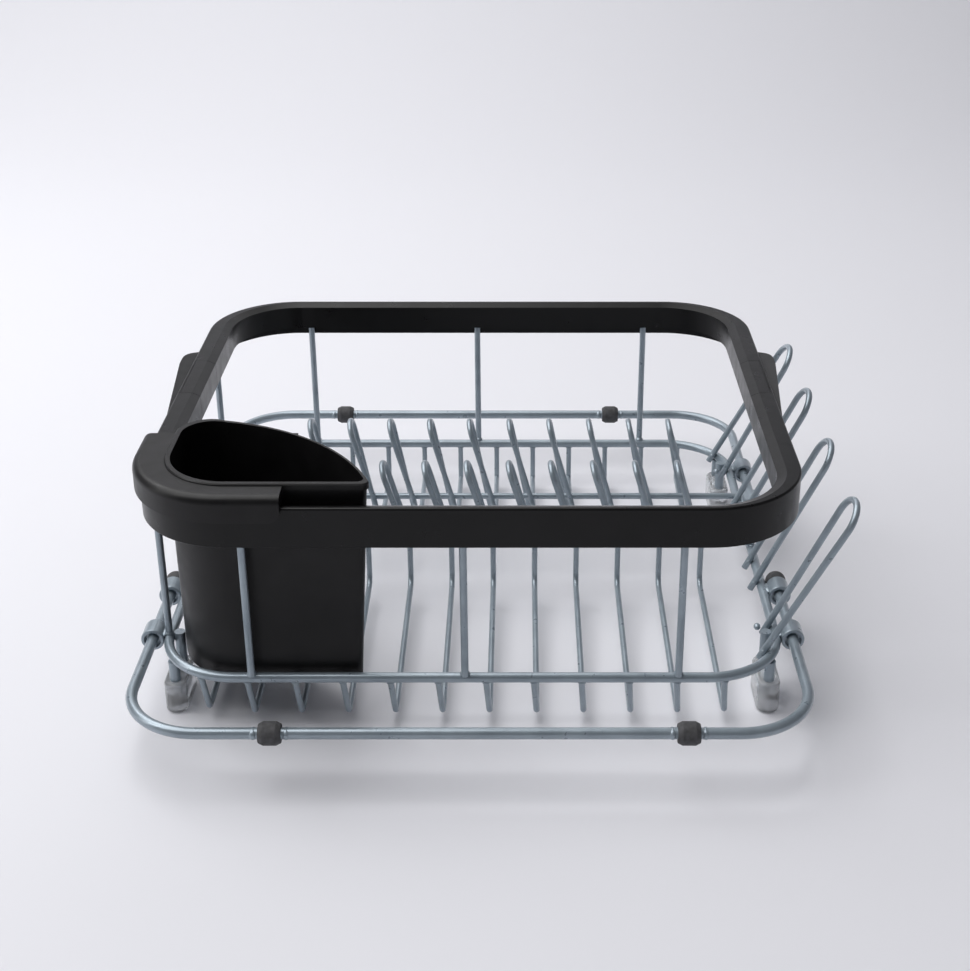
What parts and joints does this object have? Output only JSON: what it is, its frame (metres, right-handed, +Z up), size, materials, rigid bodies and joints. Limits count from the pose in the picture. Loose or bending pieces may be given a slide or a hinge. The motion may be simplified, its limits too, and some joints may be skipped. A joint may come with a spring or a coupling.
{
  "type": "dish drying rack",
  "caption": "Wire dish drying rack with a black plastic rim and hand ledges, tines for plates, leaning cup loops, sliding sink arms with rubber bumpers and a lift-off cutlery caddy.",
  "frame": {"origin": "on the floor under the middle of the whole bounding box", "axes": "+X to the user's right, where the cup loops lean out; +Y to the back; +Z up"},
  "size_m": [0.3894, 0.4052, 0.1454],
  "materials": {
    "coated_wire": "semi-gloss blue-grey powder coat",
    "rim_plastic": "fine matte texture",
    "caddy_plastic": "fine matte texture",
    "bumper_rubber": "matte grey",
    "clear_foot": "clear soft plastic, slightly milky"
  },
  "bodies": {
    "rack": {"cross_wire_front": "coated_wire", "cross_wire_rear": "coated_wire", "cup_loop_1": "coated_wire", "cup_loop_2": "coated_wire", "cup_loop_3": "coated_wire", "cup_loop_4": "coated_wire", "foot_front_left": "clear_foot", "foot_front_right": "clear_foot", "foot_rear_left": "clear_foot", "foot_rear_right": "clear_foot", "front_guide_inner_left": "coated_wire", "front_guide_inner_right": "coated_wire", "front_guide_outer_left": "coated_wire", "front_guide_outer_right": "coated_wire", "leg_front_left": "coated_wire", "leg_front_right": "coated_wire", "leg_rear_left": "coated_wire", "leg_rear_right": "coated_wire", "lower_ring": "coated_wire", "plate_wire_01": "coated_wire", "plate_wire_02": "coated_wire", "plate_wire_03": "coated_wire", "plate_wire_04": "coated_wire", "plate_wire_05": "coated_wire", "plate_wire_06": "coated_wire", "plate_wire_07": "coated_wire", "plate_wire_08": "coated_wire", "plate_wire_09": "coated_wire", "plate_wire_10": "coated_wire", "plate_wire_11": "coated_wire", "plate_wire_12": "coated_wire", "post_front_1": "coated_wire", "post_front_2": "coated_wire", "post_front_3": "coated_wire", "post_left_1": "coated_wire", "post_left_2": "coated_wire", "post_rear_1": "coated_wire", "post_rear_2": "coated_wire", "post_rear_3": "coated_wire", "rear_guide_inner_left": "coated_wire", "rear_guide_inner_right": "coated_wire", "rear_guide_outer_left": "coated_wire", "rear_guide_outer_right": "coated_wire", "rim": "rim_plastic", "rim_clip_left": "rim_plastic", "rim_clip_right": "rim_plastic", "upper_ring": "coated_wire"},
    "front_arm": {"front_arm": "coated_wire", "front_arm_cap_left": "bumper_rubber", "front_arm_cap_right": "bumper_rubber", "front_bumper_left": "bumper_rubber", "front_bumper_right": "bumper_rubber"},
    "rear_arm": {"rear_arm": "coated_wire", "rear_arm_cap_left": "bumper_rubber", "rear_arm_cap_right": "bumper_rubber", "rear_bumper_left": "bumper_rubber", "rear_bumper_right": "bumper_rubber"},
    "cutlery_caddy": {"cutlery_caddy": "caddy_plastic"}
  },
  "joints": [
    {"name": "front_arm_slide", "type": "slide", "parent": "rack", "child": "front_arm", "axis": [0, 1, 0], "range_m": [0, 0.04]},
    {"name": "rear_arm_slide", "type": "slide", "parent": "rack", "child": "rear_arm", "axis": [0, -1, 0], "range_m": [0, 0.04]},
    {"name": "caddy_lift", "type": "slide", "parent": "rack", "child": "cutlery_caddy", "axis": [0, 0, 1], "range_m": [0, 0.125]}
  ]
}
